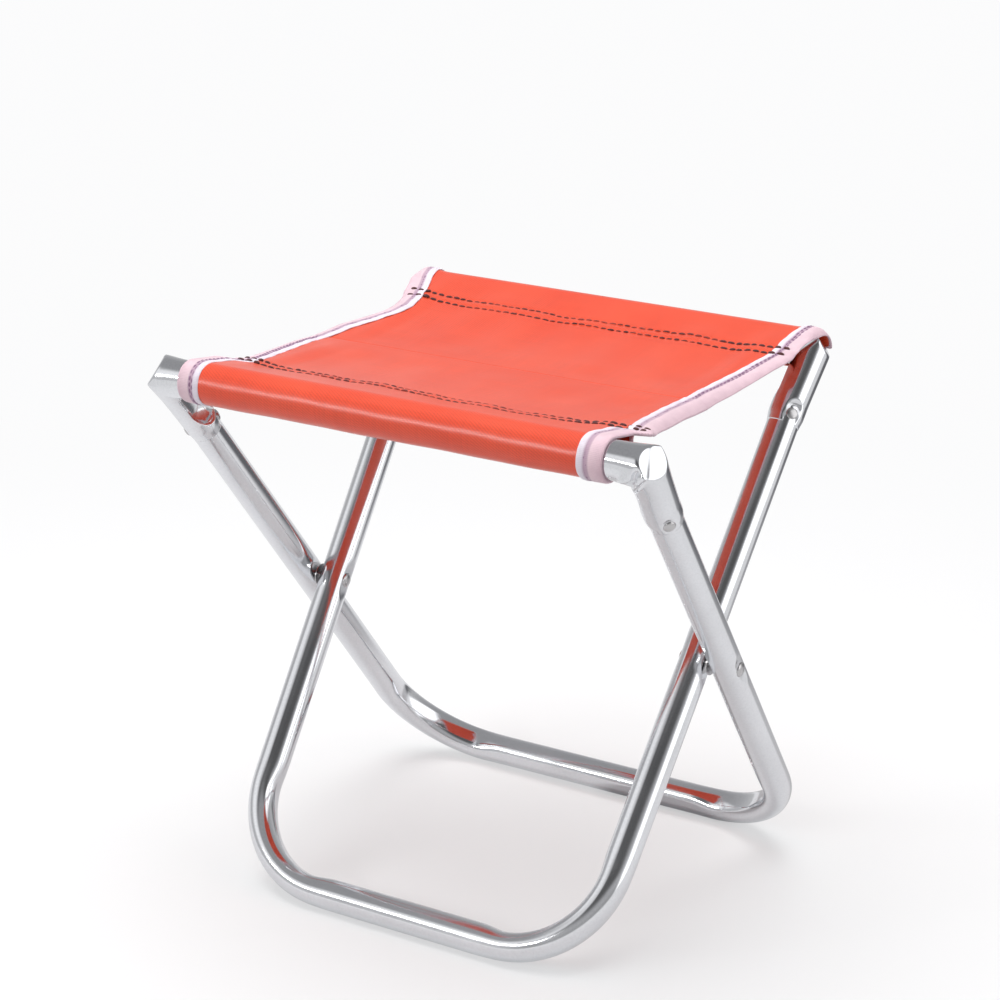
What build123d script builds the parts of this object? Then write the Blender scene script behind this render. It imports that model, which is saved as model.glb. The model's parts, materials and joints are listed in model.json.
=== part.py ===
from build123d import *
import math
import os

# Folding X-frame camp stool. X runs along the two top rails, Y from front to back, Z up.
# The origin is on the floor, under the middle of the stool. All sizes are in millimetres.

# Tubes
LEG_D = 16.0  # outside diameter of the leg tubes
LEG_WALL = 1.0
RAIL_D = 18.0  # the rail tubes slip over the leg tubes
RAIL_WALL = 0.95
FOOT_BEND = 50.0  # centre-line radius of the bends into the ground bars

# Each frame is flat. Its plane leans from the vertical by LEAN when the stool is open.
LEAN = 38.0
PIVOT_TO_RAIL = 166.0  # along the frame, from the pivot axis to the rail's axis
PIVOT_TO_GROUND = 159.0  # and to the ground bar's axis

# Half widths to the tube axes: of the legs, carried on up to the rail's height, and at the ground bar,
# and of the rail's corners.
OUTER = {"leg_top": 128.2, "leg_foot": 116.9, "corner": 130.0}
INNER = {"leg_top": 110.9, "leg_foot": 100.1, "corner": 112.4}

# Rail arms, measured along the frame down from the rail's axis
ARM_KINK = 30.0
ARM_END = 42.0
ARM_RIVET = 36.5
CORNER_FACET = 5.4  # from the corner of the centre lines out to the flat on the crushed corner
DISH_R = 8.0  # ball-shaped dish pressed into the inside of each corner
DISH_DEPTH = 14.0  # from the corner of the centre lines in to the ball's centre

# Rivets and washers
PIVOT_SHANK_D = 4.0
PIVOT_HEAD_D = 7.5
ARM_SHANK_D = 3.2
ARM_HEAD_D = 6.0
ARM_TURN = 46.0  # degrees round the leg, from crosswise towards the front outside and the back inside
HEAD_HEIGHT = 1.5
RUNNING_GAP = 0.05  # radial, shank in hole
HEAD_GAP = 0.25  # head to tube
WASHER_D = 12.0
WASHER_T = 0.5

# Seat cloth
CLOTH_T = 0.8
TAPE_T = 0.4
TAPE_W = 12.0
STITCH_T = 0.3
STITCH_W = 0.8
SLEEVE_GAP = 0.3  # radial, sleeve on rail
SEAT_SLOPE = 6.5  # droop of each half from its rail to the middle line
SLEEVE_CLOSE = 23.0  # from the rail's axis to where the sleeve's two layers meet
SLEEVE_HEM = 34.0  # and to the inner edge of the hem under the seat
STITCH_ROWS = (24.5, 31.0)
MIDDLE_Y = -0.8  # the line where the two halves meet
MIDDLE_STRIP = 29.0  # half width of the strip across that line, which crumples when the stool closes
MIDDLE_OVERRUN = 1.0  # each half is made this much too long, then cut at the middle line
HALF_SPACE = 400.0  # side of the block, larger than the stool, that keeps one side of the middle line
SEAT_HALF_MIDDLE = 112.0
FRONT_SLEEVE_X = (-116.0, 108.0)  # the cloth sits a little off centre on its front rail
REAR_SLEEVE_X = (-100.0, 100.0)  # between the rear rail's arms
REAR_EDGE_X = (-110.0, 112.0)  # the rear edges lie over the rail's corners
HOOD_TO = 228.0  # end of the arc of tape over a rear corner, in degrees from the seat's plane

PIVOT_Z = LEG_D / 2 + PIVOT_TO_GROUND * math.cos(math.radians(LEAN))
RAIL_Z = PIVOT_Z + PIVOT_TO_RAIL * math.cos(math.radians(LEAN))
RAIL_Y = PIVOT_TO_RAIL * math.sin(math.radians(LEAN))
FRAME_LENGTH = PIVOT_TO_RAIL + PIVOT_TO_GROUND
LEG_TOP = PIVOT_TO_RAIL - ARM_KINK - 1.0

SLEEVE_IN = RAIL_D / 2 + SLEEVE_GAP
SLEEVE_OUT = SLEEVE_IN + CLOTH_T


def leg_half(width, up):
    """Half width of a frame's legs at a distance up the frame from its pivot axis."""
    share = (up + PIVOT_TO_GROUND) / FRAME_LENGTH
    return width["leg_foot"] + (width["leg_top"] - width["leg_foot"]) * share


def swept(points, radius, transition=Transition.TRANSFORMED, bend=None):
    """Round bar along a line of points, with rounded bends if bend is given."""
    path = FilletPolyline(*points, radius=bend) if bend else Polyline(*points)
    section = Plane(origin=path @ 0, z_dir=path % 0) * Circle(radius)
    return sweep(section, path=path, transition=transition)


def both_sides(points):
    """A left half of an outline, from its end to its middle, and its mirror image on the right."""
    return [(-x, y) for x, y in points] + [(x, y) for x, y in reversed(points)]


def cross_pin(radius, x, up, length):
    """Bar along X through a tube whose axis passes through (x, up)."""
    return Pos(x, up, 0) * Rot(0, 90, 0) * Cylinder(radius, length)


def at_arm(shape, width, side):
    """A shape along X, turned round the leg and moved to the rivet of one arm."""
    up = PIVOT_TO_RAIL - ARM_RIVET
    return Pos(side * leg_half(width, up), up, 0) * Rot(0, -side * ARM_TURN, 0) * shape


def leg_tube(width):
    """U of tube, two legs and a ground bar, flat in XY with the pivot axis on X."""
    foot = (width["leg_foot"], -PIVOT_TO_GROUND)
    line = both_sides([(leg_half(width, LEG_TOP), LEG_TOP), foot])
    tube = swept(line, LEG_D / 2, bend=FOOT_BEND) - swept(line, LEG_D / 2 - LEG_WALL, bend=FOOT_BEND)
    for side in (-1, 1):
        tube -= cross_pin(PIVOT_SHANK_D / 2 + RUNNING_GAP, side * leg_half(width, 0), 0, 2 * LEG_D)
        tube -= at_arm(cross_pin(ARM_SHANK_D / 2 + RUNNING_GAP, 0, 0, 2 * LEG_D), width, side)
    return tube


def corner_cut(width, side, inset):
    """What is pressed away at one corner of a rail: a flat outside and a dish inside."""
    arm = Vector(leg_half(width, PIVOT_TO_RAIL - ARM_KINK) - width["corner"], -ARM_KINK).normalized()
    inward = (Vector(-1, 0) + arm).normalized()
    inward = Vector(side * inward.X, inward.Y)
    corner = Vector(side * width["corner"], PIVOT_TO_RAIL)
    flat = Plane(origin=corner - inward * (CORNER_FACET - inset), z_dir=-inward)
    block = flat * Pos(0, 0, RAIL_D) * Box(4 * RAIL_D, 4 * RAIL_D, 2 * RAIL_D)
    centre = corner + inward * DISH_DEPTH
    return block + Pos(centre.X, centre.Y, 0) * Sphere(DISH_R + inset)


def rail_tube(width):
    """Rail with two crushed corners and two short arms, flat in XY with the pivot axis on X."""
    low, kink = PIVOT_TO_RAIL - ARM_END, PIVOT_TO_RAIL - ARM_KINK
    arm = [(leg_half(width, low), low), (leg_half(width, kink), kink), (width["corner"], PIVOT_TO_RAIL)]
    line = both_sides(arm)
    outside = swept(line, RAIL_D / 2, Transition.RIGHT)
    inside = swept(line, RAIL_D / 2 - RAIL_WALL, Transition.RIGHT)
    for side in (-1, 1):
        outside -= corner_cut(width, side, 0)
        inside -= corner_cut(width, side, RAIL_WALL)
    tube = outside - inside
    for side in (-1, 1):
        tube -= at_arm(cross_pin(ARM_SHANK_D / 2 + RUNNING_GAP, 0, 0, 2 * RAIL_D), width, side)
    return tube


def rivet(start, end, shank_d, head_d):
    """Rivet along X from start to end under its two domed heads."""
    ball = (head_d**2 / 4 + HEAD_HEIGHT**2) / (2 * HEAD_HEIGHT)
    shape = Rot(0, 90, 0) * Cylinder(shank_d / 2, end - start + HEAD_HEIGHT)
    for side in (-1, 1):
        dome = Pos(0, 0, HEAD_HEIGHT - ball) * Sphere(ball)
        dome &= Pos(0, 0, HEAD_HEIGHT) * Box(2 * head_d, 2 * head_d, 2 * HEAD_HEIGHT)
        shape += Pos(side * (end - start) / 2, 0, 0) * Rot(0, side * 90, 0) * dome
    return Pos((start + end) / 2, 0, 0) * shape


def arm_rivets(width):
    """The two rivets that hold a rail's arms on its legs."""
    reach = RAIL_D / 2 + HEAD_GAP
    pin = rivet(-reach, reach, ARM_SHANK_D, ARM_HEAD_D)
    return [at_arm(pin, width, 1), at_arm(pin, width, -1)]


def pivot_rivet():
    """The right-hand pivot: through the outer leg and the inner leg beside it."""
    start = leg_half(INNER, 0) - LEG_D / 2 - HEAD_GAP
    end = leg_half(OUTER, 0) + LEG_D / 2 + HEAD_GAP
    return rivet(start, end, PIVOT_SHANK_D, PIVOT_HEAD_D)


def pivot_washer():
    """Thin washer in the gap between the right-hand legs."""
    middle = (leg_half(OUTER, 0) + leg_half(INNER, 0)) / 2
    ring = Cylinder(WASHER_D / 2, WASHER_T) - Cylinder(PIVOT_SHANK_D / 2 + RUNNING_GAP, 2 * WASHER_T)
    return Pos(middle, 0, 0) * Rot(0, 90, 0) * ring


def outer_pose(shape):
    """Stands a flat part up in the outer frame, whose rail is in front."""
    return Pos(0, 0, PIVOT_Z) * Rot(90 + LEAN, 0, 0) * shape


def inner_pose(shape):
    """Stands a flat part up in the inner frame, whose rail is behind."""
    return Pos(0, 0, PIVOT_Z) * Rot(90 - LEAN, 0, 0) * shape


# The seat's halves are drawn in their own axes: u from the rail's axis towards the middle of the seat,
# along the cloth, and n up through it. The cloth's under side is at n = SLEEVE_IN.


def seat_plane(front):
    """Section plane of one half, at X = 0: its x is u and its y is n."""
    side = 1 if front else -1
    slope = math.radians(SEAT_SLOPE)
    along = (0, side * math.cos(slope), -math.sin(slope))
    return Plane(origin=(0, -side * RAIL_Y, RAIL_Z), x_dir=along, z_dir=(side, 0, 0))


def seat_reach(front):
    """Length u from a rail's axis to the line where the halves meet."""
    gap = RAIL_Y + MIDDLE_Y if front else RAIL_Y - MIDDLE_Y
    slope = math.radians(SEAT_SLOPE)
    cloth_middle = SLEEVE_IN + CLOTH_T / 2
    return (gap - cloth_middle * math.sin(slope)) / math.cos(slope)


def between(front, section, x_range):
    """Extrudes a section of one half from x_range[0] to x_range[1]."""
    low, high = x_range if front else (-x_range[1], -x_range[0])
    return extrude(seat_plane(front).offset(low) * section, amount=high - low)


def strip(u0, u1, n0, n1):
    """Rectangle of a section."""
    return Pos((u0 + u1) / 2, (n0 + n1) / 2) * Rectangle(u1 - u0, n1 - n0)


def loop(ring, tip, tip_u):
    """Teardrop round the rail: a circle and the tangents to a small circle where the layers meet."""
    far = Pos(tip_u, SLEEVE_IN + CLOTH_T / 2) * Circle(tip)
    return make_hull([*Circle(ring).edges(), *far.edges()])


def panel(front, edges_rail, edges_middle, u0, u1, n0, n1):
    """Flat piece of one half between two edges, which slant from the rail to the middle line."""
    reach = seat_reach(front)

    def edge(side, u):
        share = (u - SLEEVE_HEM) / (reach - SLEEVE_HEM)
        return edges_rail[side] + (edges_middle[side] - edges_rail[side]) * share

    base = seat_plane(front)
    face_plane = Plane(origin=base.origin + base.y_dir * n0, x_dir=(1, 0, 0), z_dir=base.y_dir)
    way = 1 if front else -1
    corners = [(edge(0, u0), way * u0), (edge(1, u0), way * u0),
               (edge(1, u1), way * u1), (edge(0, u1), way * u1)]
    return extrude(face_plane * make_face(Polyline(*corners, close=True)), amount=n1 - n0)


def sleeve(front):
    """Cloth tunnel round one rail, and the hem under the seat where it is sewn shut."""
    x_range = FRONT_SLEEVE_X if front else REAR_SLEEVE_X
    shell = loop(SLEEVE_OUT, CLOTH_T / 2, SLEEVE_CLOSE) - loop(SLEEVE_IN, 0.05, SLEEVE_CLOSE - 1.5)
    hem = strip(SLEEVE_CLOSE - 1.5, SLEEVE_HEM, SLEEVE_IN - CLOTH_T, SLEEVE_OUT)
    hem -= loop(SLEEVE_IN, 0.05, SLEEVE_CLOSE - 1.5)
    return between(front, shell + hem, x_range)


def seat_edges(front):
    """Left and right edges of the cloth at one rail and at the middle line."""
    rail = FRONT_SLEEVE_X if front else REAR_EDGE_X
    return rail, (-SEAT_HALF_MIDDLE, SEAT_HALF_MIDDLE)


def seat_panel(front):
    """One half of the seat between its sleeve's hem and the middle strip."""
    edges_rail, edges_middle = seat_edges(front)
    end = seat_reach(front) - MIDDLE_STRIP
    return panel(front, edges_rail, edges_middle, SLEEVE_HEM, end, SLEEVE_IN, SLEEVE_OUT)


def middle_strip():
    """The strip of cloth across the middle line, which folds when the stool closes."""
    halves = []
    for front in (True, False):
        edges_rail, edges_middle = seat_edges(front)
        start = seat_reach(front) - MIDDLE_STRIP
        end = seat_reach(front) + MIDDLE_OVERRUN
        half = panel(front, edges_rail, edges_middle, start, end, SLEEVE_IN, SLEEVE_OUT)
        to_own_side = -HALF_SPACE / 2 if front else HALF_SPACE / 2
        own_side = Pos(0, MIDDLE_Y + to_own_side, RAIL_Z) * Box(HALF_SPACE, HALF_SPACE, HALF_SPACE)
        halves.append(half & own_side)
    return halves[0] + halves[1]


def tape_edges(front, side, reach_out, reach_in):
    """Across a tape at the rail and at the middle line, from reach_out outside the cloth's edge to
    reach_in inside it. Side 0 is the left edge and 1 the right."""
    pairs = []
    for pair in seat_edges(front):
        way = 1 if side == 0 else -1
        pairs.append(tuple(sorted((pair[side] - way * reach_out, pair[side] + way * reach_in))))
    return pairs


def binding(front, side):
    """Tape folded over one edge of a half."""
    end = seat_reach(front) - MIDDLE_STRIP
    both_layers = tape_edges(front, side, TAPE_T, TAPE_W)
    tape = panel(front, *both_layers, SLEEVE_HEM, end, SLEEVE_OUT, SLEEVE_OUT + TAPE_T)
    tape += panel(front, *both_layers, SLEEVE_HEM, end, SLEEVE_IN - TAPE_T, SLEEVE_IN)
    wall = tape_edges(front, side, TAPE_T, 0)
    tape += panel(front, *wall, SLEEVE_HEM, end, SLEEVE_IN - TAPE_T, SLEEVE_OUT + TAPE_T)
    x_range = both_layers[0]
    if front:
        band = loop(SLEEVE_OUT + TAPE_T, CLOTH_T / 2 + TAPE_T, SLEEVE_CLOSE)
        band += strip(SLEEVE_CLOSE, SLEEVE_HEM, SLEEVE_OUT, SLEEVE_OUT + TAPE_T)
        tape += between(front, band, x_range) - sleeve(front)
        tape -= between(front, loop(SLEEVE_IN + CLOTH_T / 2, 0.05, SLEEVE_CLOSE - 1.5), x_range)
        return tape
    tape += between(front, strip(0, SLEEVE_HEM, SLEEVE_OUT, SLEEVE_OUT + TAPE_T), x_range)
    inner = REAR_SLEEVE_X[side]
    hood_x = (x_range[0], inner) if side == 0 else (inner, x_range[1])
    rays = [(3 * SLEEVE_OUT * math.cos(math.radians(a)), 3 * SLEEVE_OUT * math.sin(math.radians(a)))
            for a in (90, (90 + HOOD_TO) / 2, HOOD_TO)]
    arc = (Circle(SLEEVE_OUT + TAPE_T) - Circle(SLEEVE_IN)) & make_face(Polyline((0, 0), *rays, close=True))
    hood = arc + strip(0, SLEEVE_HEM, SLEEVE_IN, SLEEVE_OUT + TAPE_T)
    hood += strip(SLEEVE_HEM - TAPE_W / 2, SLEEVE_HEM, SLEEVE_IN - TAPE_T, SLEEVE_IN)
    return tape + between(front, hood, hood_x)


def stitching(front):
    """Two rows of thread that close one sleeve, between the binding tapes."""
    left, right = FRONT_SLEEVE_X if front else (REAR_EDGE_X[0], REAR_EDGE_X[1])
    x_range = (left + TAPE_W, right - TAPE_W)
    rows = [strip(u - STITCH_W / 2, u + STITCH_W / 2, SLEEVE_OUT, SLEEVE_OUT + STITCH_T) for u in STITCH_ROWS]
    return [between(front, row, x_range) for row in rows]


def mirrored(shape):
    """The same part on the left-hand side."""
    return mirror(shape, about=Plane.YZ)


pieces = {
    "outer_leg_tube": outer_pose(leg_tube(OUTER)),
    "inner_leg_tube": inner_pose(leg_tube(INNER)),
    "front_rail_tube": outer_pose(rail_tube(OUTER)),
    "rear_rail_tube": inner_pose(rail_tube(INNER)),
    "front_arm_rivets": Compound([outer_pose(r) for r in arm_rivets(OUTER)]),
    "rear_arm_rivets": Compound([inner_pose(r) for r in arm_rivets(INNER)]),
    "right_pivot_rivet": outer_pose(pivot_rivet()),
    "left_pivot_rivet": outer_pose(mirrored(pivot_rivet())),
    "right_pivot_washer": outer_pose(pivot_washer()),
    "left_pivot_washer": outer_pose(mirrored(pivot_washer())),
    "seat_middle_strip": middle_strip(),
}
for name, is_front in (("front", True), ("rear", False)):
    pieces[name + "_sleeve"] = sleeve(is_front)
    pieces[name + "_seat_panel"] = seat_panel(is_front)
    pieces[name + "_left_binding"] = binding(is_front, 0)
    pieces[name + "_right_binding"] = binding(is_front, 1)
    pieces[name + "_sleeve_stitching"] = Compound(stitching(is_front))

os.makedirs("parts", exist_ok=True)
for name, shape in pieces.items():
    export_step(shape, f"parts/{name}.step")
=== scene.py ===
import json
import math

import bmesh
import bpy
import numpy as np
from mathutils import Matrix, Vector

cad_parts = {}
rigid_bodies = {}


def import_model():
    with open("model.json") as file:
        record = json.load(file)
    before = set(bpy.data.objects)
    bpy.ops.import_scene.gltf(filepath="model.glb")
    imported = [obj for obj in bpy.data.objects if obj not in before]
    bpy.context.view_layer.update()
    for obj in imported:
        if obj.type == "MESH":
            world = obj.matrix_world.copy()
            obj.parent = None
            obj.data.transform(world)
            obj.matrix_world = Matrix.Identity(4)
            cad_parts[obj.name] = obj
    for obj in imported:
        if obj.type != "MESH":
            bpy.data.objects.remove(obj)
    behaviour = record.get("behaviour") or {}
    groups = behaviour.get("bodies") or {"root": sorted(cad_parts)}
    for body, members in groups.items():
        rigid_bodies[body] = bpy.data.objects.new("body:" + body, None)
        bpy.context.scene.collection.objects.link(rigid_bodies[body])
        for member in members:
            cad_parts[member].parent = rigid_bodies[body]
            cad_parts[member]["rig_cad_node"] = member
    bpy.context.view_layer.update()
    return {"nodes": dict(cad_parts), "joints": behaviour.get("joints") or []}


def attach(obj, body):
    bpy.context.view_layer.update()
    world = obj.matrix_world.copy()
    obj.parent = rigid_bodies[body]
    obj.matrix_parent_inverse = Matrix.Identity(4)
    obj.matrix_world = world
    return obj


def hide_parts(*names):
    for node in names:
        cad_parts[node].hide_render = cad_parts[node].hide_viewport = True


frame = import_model()

# Lengths below are in millimetres, and become metres where a mesh is made.
MM = 0.001
RNG = np.random.default_rng(7)  # for the unevenness of the stitches
X_AXIS = np.array([1.0, 0])  # along the rails, in a frame's own plane

JOINTS = {j["name"]: j for j in frame["joints"]}
PIVOT_Z = JOINTS["fold"]["pos_m"][2] / MM
RAIL_Y = JOINTS["rear_seat_swing"]["pos_m"][1] / MM
RAIL_Z = JOINTS["rear_seat_swing"]["pos_m"][2] / MM
LEAN = math.atan2(RAIL_Y, RAIL_Z - PIVOT_Z)
PIVOT_TO_RAIL = math.hypot(RAIL_Y, RAIL_Z - PIVOT_Z)

# The frames, as in the CAD
LEG_R = 8.0
RAIL_R = 9.0
PIVOT_TO_GROUND = (PIVOT_Z - LEG_R) / math.cos(LEAN)
FOOT_BEND = 50.0
OUTER = {"leg_top": 128.2, "leg_foot": 116.9, "corner": 130.0}
INNER = {"leg_top": 110.9, "leg_foot": 100.1, "corner": 112.4}
ARM_KINK = 30.0
ARM_END = 42.0
ARM_RIVET = 36.5
# Arm rivets. Each rail's flats under their heads have a radius and a depth, and all are turned from
# crosswise towards the front.
ARM_TURN = math.radians(46)
FRONT_SEAT_R, FRONT_SEAT_DEPTH = 4.8, 0.8
REAR_SEAT_R, REAR_SEAT_DEPTH = 6.0, 1.25
ARM_SHANK_R, ARM_HEAD_R = 1.6, 3.0
FRONT_HEAD_LIFT, REAR_HEAD_LIFT = 1.2, 0.6
LEG_TOP = PIVOT_TO_RAIL - ARM_KINK - 1.0  # the legs end just inside the arms
CORNER_FACET = 5.4
CRUSHED_R = 30.0  # how far from a corner's centre its flat can reach

# The dish in each arm: from the corner along the arm, its widest place as a share of its length
DISH_START = 6.5
DISH_LENGTH = 27.0
DISH_WIDEST = 0.62
DISH_HALF = 6.7
DISH_DEPTH = 5.6
ARM_CLOSED = 0.092  # share by which the end of an arm is narrower

# The legs' bends and the pivot rivets
BEND_PINCH = 1.5  # how far a bend is pressed in on its inner side
BEND_BACK = 0.5  # and on its outer side
BEND_WIDEN = 0.35
PIVOT_FLAT = 6.9  # from a leg's axis to the flat under a pivot rivet's head
PIVOT_FLAT_RISE = 1.6  # from the flat up to the round tube
PIVOT_FLAT_R = 11.0
PIVOT_HEAD_SEAT = 6.85
PIVOT_SHANK_R, PIVOT_HEAD_R = 2.0, 3.75
PIVOT_HEAD_LIFT = 1.35

# The cloth, as in the CAD
SLEEVE_R = 9.7
SEAT_SLOPE = math.radians(6.5)
SLEEVE_CLOSE = 23.0
SLEEVE_HEM = 34.0
STITCH_ROWS = (24.5, 31.0)
MIDDLE_Y = -0.8
TAPE_W = 12.0
UNDER = 0.85  # between the two layers at the hem
CLOTH_T = 0.7
TAPE_T = 0.3
SAG = 3.7  # of the seat between its rails
CURL, CURL_W = 2.8, 5.5  # how far the edges hang, and over what width
ROUND_POINTS, HEM_POINTS = 34, 9  # of the profile round a rail and along its hem
HOOD_END = 215  # degrees round the rear rail from the front, where its tapes end

# Left and right edges of the cloth as (distance from the middle line over the rail, x). They jump at
# the front sleeve, which is wider on the left than the panel and narrower on the right.
FRONT_EDGES = (((0, -117.3), (12, -117.6), (47, -113.6), (68, -109.6), (78.5, -108.0), (82.5, -115.4)),
               ((0, 106.9), (27, 108.4), (54, 112.2), (70, 116.2), (79, 119.6), (82.5, 112.8)))
REAR_EDGES = (((0, -117.3), (18, -115.0), (35, -109.8), (49, -105.4), (58, -104.8), (68, -106.6),
               (84, -111.8), (95, -116.5), (104, -118.5)),
              ((0, 106.9), (8, 106.9), (31, 109.4), (56, 113.0), (68, 115.6), (75, 116.4), (84, 115.4),
               (94, 115.6), (100, 116.6), (106, 117.4)))
FRONT_HEM = (-106.0, 110.5)
REAR_HEM = (-101.0, 101.0)

# A binding tape's top side as (distance in from the cloth's edge, height over the cloth): a thick inner
# border, the groove sewn down in the middle, and the outer half.
TAPE_PROFILE = ((12.0, 0.12), (11.6, 0.42), (10.5, 0.62), (9.0, 0.55), (8.2, 0.36), (7.6, 0.16), (7.2, 0.34),
                (6.6, 0.42), (5.0, 0.38), (3.5, 0.36), (2.0, 0.36), (0.9, 0.32), (0.25, 0.2))
TAPE_ROWS = (6.7, 8.0)
TAPE_STITCH, TAPE_THREAD_W = 2.5, 0.9
TAPE_TOP = 0.74  # height of the tape's stitches over the middle of the cloth
SEAM_STITCH, SEAM_THREAD = 3.7, 1.05
THREAD_FLAT = 0.75  # height of a thread as a share of its width


def smooth(a, b, x):
    """0 below a, 1 above b, and a smooth step between."""
    t = np.clip((x - a) / (b - a), 0, 1)
    return t * t * (3 - 2 * t)


def soft_max(a, b, k):
    """The larger of a and b, rounded where they cross."""
    h = np.clip(0.5 + 0.5 * (a - b) / k, 0, 1)
    return b + (a - b) * h + k * h * (1 - h)


def bump_at(x, centre, width):
    """1 at the centre, falling off on both sides."""
    return np.exp(-(((x - centre) / width) ** 2))


# ---------------------------------------------------------------- meshes


def grid_mesh(name, points, close_rows=False, close_cols=False, cap_rows=False, uv=None, attributes=None):
    """Mesh from an array of rows x columns x 3 points in millimetres. close_cols joins the last column to
    the first, and cap_rows closes the first and last rows with a fan."""
    rows, cols, _ = points.shape
    verts = points.reshape(-1, 3) * MM
    faces = []
    row_ids = range(rows if close_rows else rows - 1)
    col_ids = range(cols if close_cols else cols - 1)
    for i in row_ids:
        i2 = (i + 1) % rows
        for j in col_ids:
            j2 = (j + 1) % cols
            faces.append((i * cols + j, i * cols + j2, i2 * cols + j2, i2 * cols + j))
    verts = [tuple(v) for v in verts]
    if cap_rows:
        for row, turn in ((0, 1), (rows - 1, -1)):
            middle = len(verts)
            verts.append(tuple(points[row].mean(0) * MM))
            for j in col_ids:
                a, b = row * cols + j, row * cols + (j + 1) % cols
                faces.append((middle, b, a) if turn > 0 else (middle, a, b))
    mesh = bpy.data.meshes.new(name)
    mesh.from_pydata(verts, [], faces)
    if uv is not None:
        layer = mesh.uv_layers.new(name="cloth")
        flat = uv.reshape(-1, 2) * MM
        for loop in mesh.loops:
            if loop.vertex_index < len(flat):
                layer.data[loop.index].uv = flat[loop.vertex_index]
    for key, values in (attributes or {}).items():
        attribute = mesh.attributes.new(key, "FLOAT", "POINT")
        padded = np.zeros(len(verts), np.float32)
        padded[: values.size] = values.ravel()
        attribute.data.foreach_set("value", padded)
    mesh.polygons.foreach_set("use_smooth", [True] * len(mesh.polygons))
    mesh.validate()
    mesh.update()
    piece = bpy.data.objects.new(name, mesh)
    bpy.context.scene.collection.objects.link(piece)
    return piece


def outward(piece):
    """Makes the mesh's normals face out."""
    bm = bmesh.new()
    bm.from_mesh(piece.data)
    bmesh.ops.recalc_face_normals(bm, faces=bm.faces)
    bm.to_mesh(piece.data)
    bm.free()
    return piece


def subdivided(piece, levels=1):
    modifier = piece.modifiers.new("Subdivision", "SUBSURF")
    modifier.levels = modifier.render_levels = levels
    return piece


def stand(points, front):
    """Points of a flat frame (x, up from the pivot, across) stood up in the row frame."""
    side = -1 if front else 1
    up = np.array([0, side * math.sin(LEAN), math.cos(LEAN)])
    across = np.array([0, -math.cos(LEAN), side * math.sin(LEAN)])
    out = points[..., 0:1] * np.array([1.0, 0, 0]) + points[..., 1:2] * up + points[..., 2:3] * across
    return out + np.array([0, 0, PIVOT_Z])


def leg_half(width, up):
    """Half the distance between the axes of a frame's legs, at a height along the frame."""
    share = (up + PIVOT_TO_GROUND) / (PIVOT_TO_RAIL + PIVOT_TO_GROUND)
    return width["leg_foot"] + (width["leg_top"] - width["leg_foot"]) * share


# ---------------------------------------------------------------- tubes


def sweep_rings(centres, tangents, planes, radius, around):
    """Rings of points round a flat centre line. planes are the normals of the rings' planes."""
    theta = np.linspace(0, 2 * math.pi, around, endpoint=False)
    c, s = np.cos(theta), np.sin(theta)
    rings = np.zeros((len(centres), around, 3))
    for k, (centre, t, m) in enumerate(zip(centres, tangents, planes)):
        n = np.array([-t[1], t[0]])
        slide = -radius * c * (n @ m) / (t @ m)
        rings[k, :, 0] = centre[0] + radius * c * n[0] + slide * t[0]
        rings[k, :, 1] = centre[1] + radius * c * n[1] + slide * t[1]
        rings[k, :, 2] = radius * s
    return rings


def leg_line(width, step=2.0):
    """Centre line of a U: points, tangents and distance from each bend's middle."""
    top = np.array([leg_half(width, LEG_TOP), LEG_TOP])
    foot = np.array([width["leg_foot"], -PIVOT_TO_GROUND])
    down = (foot - top) / np.linalg.norm(foot - top)
    along = -X_AXIS
    turn = math.acos(down @ along)
    cut = FOOT_BEND * math.tan(turn / 2)
    start, end = foot - down * cut, foot + along * cut
    points, tangents, bend = [], [], []
    length = np.linalg.norm(start - top)
    for d in np.linspace(0, length, int(length / step)):
        points.append(top + down * d)
        tangents.append(down)
        bend.append(-(length - d))
    normal = np.array([down[1], -down[0]])
    if normal @ (end - start) < 0:
        normal = -normal
    centre = start + normal * FOOT_BEND
    for a in np.linspace(0, turn, int(FOOT_BEND * turn / step))[1:]:
        points.append(centre - normal * FOOT_BEND * math.cos(a) + down * FOOT_BEND * math.sin(a))
        tangents.append(down * math.cos(a) + normal * math.sin(a))
        bend.append(FOOT_BEND * a)
    arc = FOOT_BEND * turn
    for d in np.linspace(0, end[0], int(end[0] / step))[1:]:
        points.append(end + along * d)
        tangents.append(along)
        bend.append(arc + d)
    points, tangents, bend = np.array(points), np.array(tangents), np.array(bend)
    other = points[::-1][1:] * [-1, 1]
    other_t = tangents[::-1][1:] * [1, -1]
    return (np.vstack([points, other]), np.vstack([tangents, other_t]),
            np.concatenate([bend, bend[::-1][1:]]), arc)


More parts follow.
